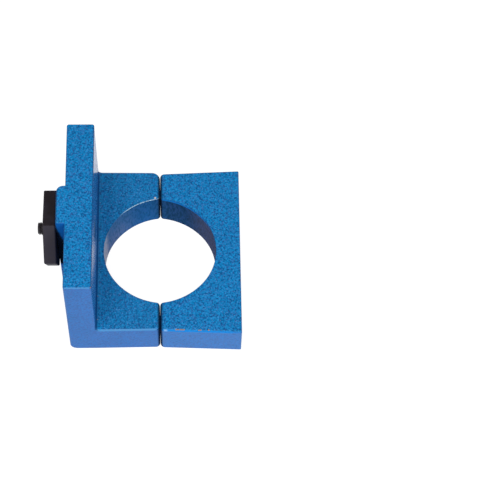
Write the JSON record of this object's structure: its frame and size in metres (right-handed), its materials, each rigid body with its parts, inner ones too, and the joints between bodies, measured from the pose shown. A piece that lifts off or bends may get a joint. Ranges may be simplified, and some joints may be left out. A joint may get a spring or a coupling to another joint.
{
  "type": "drill holder",
  "caption": "Split collar on an upright flange that grips a drill's neck, with a keyed back and a hexagonal plate that clamps it to a slotted rail.",
  "frame": {"origin": "middle of the bore, half way up the collar", "axes": "+Z along the bore, up past the flange; +X from the flange through the bore to the cap; +Y along the flange"},
  "size_m": [0.0763, 0.07, 0.0528],
  "materials": {
    "hammered_blue": "hammered blue enamel on cast iron",
    "black_oxide": "black oxide on alloy steel",
    "black_steel": "black oxide on sawn plate"
  },
  "bodies": {
    "bracket": {"bracket": "hammered_blue"},
    "cap": {"collar_cap": "hammered_blue"},
    "clamp_screw_far": {"clamp_screw_far": "black_oxide"},
    "clamp_screw_near": {"clamp_screw_near": "black_oxide"},
    "slot_screw": {"slot_screw": "black_oxide"},
    "nut_plate": {"nut_plate": "black_steel"}
  },
  "joints": [
    {"name": "cap_slide", "type": "slide", "parent": "bracket", "child": "cap", "axis": [1, 0, 0], "range_m": [-0.0001, 0.008]},
    {"name": "clamp_screw_far_turn", "type": "hinge", "parent": "cap", "child": "clamp_screw_far", "pos_m": [0, 0.02809, 0], "axis": [1, 0, 0], "range_deg": [-45, 3600]},
    {"name": "clamp_screw_near_turn", "type": "hinge", "parent": "cap", "child": "clamp_screw_near", "pos_m": [0, -0.02809, 0], "axis": [1, 0, 0], "range_deg": [-45, 3600]},
    {"name": "slot_screw_turn", "type": "hinge", "parent": "bracket", "child": "slot_screw", "pos_m": [-0.03, 0, 0.02655], "axis": [1, 0, 0], "range_deg": [0, 1350]},
    {"name": "nut_plate_slide", "type": "slide", "parent": "bracket", "child": "nut_plate", "axis": [-1, 0, 0], "range_m": [0, 0.003]}
  ],
  "couplings": [
    {"joint": "clamp_screw_far_turn", "follows": "cap_slide", "rad_per_m": 7854},
    {"joint": "clamp_screw_near_turn", "follows": "cap_slide", "rad_per_m": 7854},
    {"joint": "slot_screw_turn", "follows": "nut_plate_slide", "rad_per_m": 7854}
  ]
}
